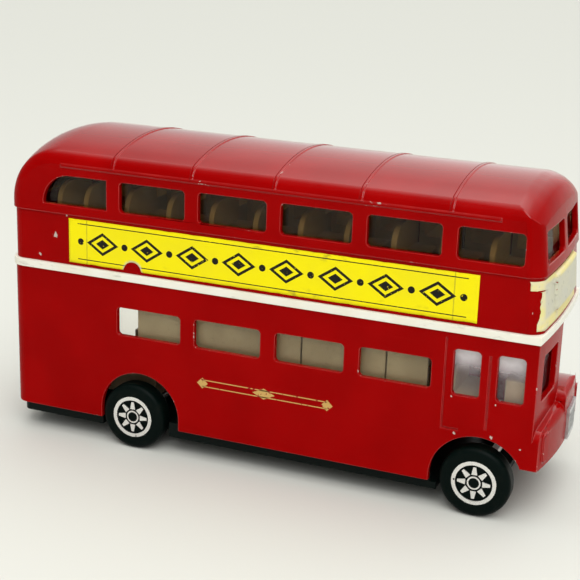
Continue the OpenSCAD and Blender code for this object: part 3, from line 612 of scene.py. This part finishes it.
def front_paper():
    """What is left of the paper round the upper front panel, with its tab on the driver's side."""
    shell = BVHTree.FromObject(nodes["upper_body"], bpy.context.evaluated_depsgraph_get())
    lines = []
    for j in range(FRONT_ROWS + 1):
        z = FRONT_FOOT + (FRONT_HEAD - FRONT_FOOT) * j / FRONT_ROWS
        row = []
        for i in range(SWEEP_STEPS + 1):
            turn = math.radians(SWEEP_FROM + (SWEEP_TO - SWEEP_FROM) * i / SWEEP_STEPS)
            way = Vector((math.cos(turn), math.sin(turn), 0))
            start = Vector((SWEEP_AT[0], SWEEP_AT[1], z)) + way * SWEEP_OUT
            hit, facing, _, _ = shell.ray_cast(start * MM, -way)
            row.append(hit / MM + facing * PAPER_LIFT)
        lines.append(trimmed(row, z))
    ruled_sheet("front_paper", lines, aged_paper(), PAPER_T)


def trimmed(row, z):
    """The row of points between the torn ends of the paper, spread evenly again."""
    tab = TAB_X if z > TAB_Z else STRIP_X
    start_x = tab + ragged(3, z, 0.35)
    end_y = FRONT_END_Y + ragged(6, z, 0.9)
    kept = [p for p in row if (p.x > start_x or p.y > FRONT_START_Y) and p.y < end_y]
    return [tuple(kept[round(i * (len(kept) - 1) / SWEEP_STEPS)] * MM) for i in range(SWEEP_STEPS + 1)]


# Coach line on the lower panels: ends, level, widths and its middle lozenge, in millimetres
LINE_FROM, LINE_TO, LINE_Z = -12.8, 16.3, 18.7
LINE_W, LINE_GAP, LINE_T = 0.22, 1.5, 0.03
LINE_LOZENGE = (2.6, 1.25)


def coach_line(side):
    """A gold double line with a lozenge in the middle, leafed on one lower side."""
    low, high = (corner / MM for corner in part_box("lower_body"))
    y = (low.y if side < 0 else high.y) + side * LINE_T
    mid = (LINE_FROM + LINE_TO) / 2
    corners, faces = [], []

    def leaf(points):
        faces.append(tuple(range(len(corners), len(corners) + len(points))))
        ordered = points if side < 0 else points[::-1]
        corners.extend((px * MM, y * MM, pz * MM) for px, pz in ordered)

    for level in (LINE_Z - LINE_GAP / 2, LINE_Z + LINE_GAP / 2):
        leaf([(LINE_FROM, level - LINE_W / 2), (LINE_TO, level - LINE_W / 2),
              (LINE_TO, level + LINE_W / 2), (LINE_FROM, level + LINE_W / 2)])
    for at in (LINE_FROM, mid, LINE_TO):
        long, tall = LINE_LOZENGE if at == mid else (LINE_LOZENGE[0] / 2, LINE_LOZENGE[1])
        leaf([(at - long, LINE_Z), (at, LINE_Z - tall), (at + long, LINE_Z), (at, LINE_Z + tall)])
    name = "coach_line_offside" if side < 0 else "coach_line_nearside"
    mesh = bpy.data.meshes.new(name)
    mesh.from_pydata(corners, [], faces)
    piece = bpy.data.objects.new(name, mesh)
    bpy.context.scene.collection.objects.link(piece)
    leafed = piece.modifiers.new("leaf", "SOLIDIFY")
    leafed.thickness = LINE_T * MM
    leafed.offset = -1
    mesh.materials.append(GOLD)
    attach(piece, "bus")


def camera():
    """The photograph's camera."""
    turn, tilt, roll = (math.radians(a) for a in (CAMERA_TURN, CAMERA_TILT, CAMERA_ROLL))
    back = Vector((math.sin(turn) * math.cos(tilt), -math.cos(turn) * math.cos(tilt), math.sin(tilt)))
    level = Vector((math.cos(turn), math.sin(turn), 0))
    upright = back.cross(level)
    right = math.cos(roll) * level + math.sin(roll) * upright
    up = math.cos(roll) * upright - math.sin(roll) * level
    lens = bpy.data.cameras.new("photo_camera")
    lens.sensor_width = SENSOR_MM
    lens.lens = FOCAL_PX / FRAME_PX * SENSOR_MM
    lens.shift_x = 0.5 - CENTRE_PX[0] / FRAME_PX
    lens.shift_y = CENTRE_PX[1] / FRAME_PX - 0.5
    lens.clip_start, lens.clip_end = NEAR_M, FAR_M
    seen_from = bpy.data.objects.new("photo_camera", lens)
    turned = Matrix((right, up, back)).transposed().to_4x4()
    seen_from.matrix_world = Matrix.Translation(Vector(CAMERA_AT) * MM) @ turned
    bpy.context.scene.collection.objects.link(seen_from)
    bpy.context.scene.camera = seen_from


# Floor's half side in metres, levels of the room's light, and lamps: name, place, size and watts
FLOOR_HALF = 4.0
SKY_FRONT, SKY_BACK, SKY_CAP, SKY_LEFT_LOSS = 0.52, 0.90, 1.70, 0.45
LAMPS = (("front_lamp", (0.25, -0.50, 0.55), 0.50, 2.4),)


def studio():
    """A pale floor, a white room brightest overhead, and one large soft lamp in front."""
    mesh = bpy.data.meshes.new("floor")
    corners = [(x * FLOOR_HALF, y * FLOOR_HALF, 0) for x, y in ((-1, -1), (1, -1), (1, 1), (-1, 1))]
    mesh.from_pydata(corners, [], [(0, 1, 2, 3)])
    floor = bpy.data.objects.new("floor", mesh)
    f = Finish("pale_floor")
    mesh.materials.append(f.coat(Base_Color=FLOOR_PALE, Roughness=0.9, Specular_IOR_Level=0.1))
    bpy.context.scene.collection.objects.link(floor)

    world = bpy.data.worlds.new("white_room")
    bpy.context.scene.world = world
    f = Finish("white_room", world)
    right = f.node("ShaderNodeSeparateXYZ", None, {0: f.node("ShaderNodeTexCoord", output="Generated")})
    behind = right.other("Y").rise(0.50, 0.70)
    overhead = right.other("Z").rise(0.62, 0.88)
    left = right.rise(-0.2, -0.7)
    level = (SKY_FRONT + behind * (SKY_BACK - SKY_FRONT) + overhead * SKY_CAP) * (1 - left * SKY_LEFT_LOSS)
    room = f.node("ShaderNodeBackground", None, {"Color": ROOM_WHITE, "Strength": level})
    far_floor = f.node("ShaderNodeBackground", None, {"Color": HORIZON})
    seen = f.node("ShaderNodeLightPath", output="Is Camera Ray")
    f.shade(f.node("ShaderNodeMixShader", None, {0: seen, 1: room, 2: far_floor}), "ShaderNodeOutputWorld")

    for name, place, size, watts in LAMPS:
        lamp = bpy.data.lights.new(name, "AREA")
        lamp.energy = watts
        lamp.size = size
        stand = bpy.data.objects.new(name, lamp)
        stand.location = place
        stand.rotation_euler = (-Vector(place)).to_track_quat("-Z", "Y").to_euler()
        bpy.context.scene.collection.objects.link(stand)


# The edge finish: thin enamel and a painted highlight on all rounded edges.
EDGE = edge_enamel_and_sheen("edge_enamel_and_sheen")
GOLD = gold_leaf()
STEEL = drawn_steel()
WINDOW = window_plastic("window_plastic", CLEAR_TINT)
DUSKY = window_plastic("dusky_plastic", DUSKY_TINT)
WHEEL = wheel_plastic()

front_paper()
dress("upper_body", red_enamel("upper_enamel", UPPER_SCARS), EDGE)
dress("lower_body", red_enamel("lower_enamel", LOWER_SCARS), EDGE)
dress("upper_deck", trim_plastic())
dress("lower_deck", saloon_plastic())
dress("base_plate", base_plastic())
dress("base_rivets", STEEL)
dress("radiator_grille", bright_grille())
dress("steering_wheel", steering_black())
dress("front_label", aged_paper())
dress("upper_glazing", DUSKY)
dress("lower_glazing", WINDOW)
dress("cab_glazing", cab_glass_painted_bright())
for axle in ("front_axle", "rear_axle"):
    dress(axle, STEEL)
for wheel in (name for name in nodes if name.startswith("wheel_")):
    dress(wheel, WHEEL)

EDGE_WIDTHS = {"upper_body": 0.16, "lower_body": 0.16, "upper_deck": 0.14, "lower_deck": 0.14}
for part_name, width in EDGE_WIDTHS.items():
    soften(part_name, width)

advert("offside_label", -1, True)
advert("nearside_label", 1, False)
for side in (-1, 1):
    coach_line(side)

camera()
studio()
bpy.context.scene.view_settings.view_transform = "Standard"
bpy.context.view_layer.update()
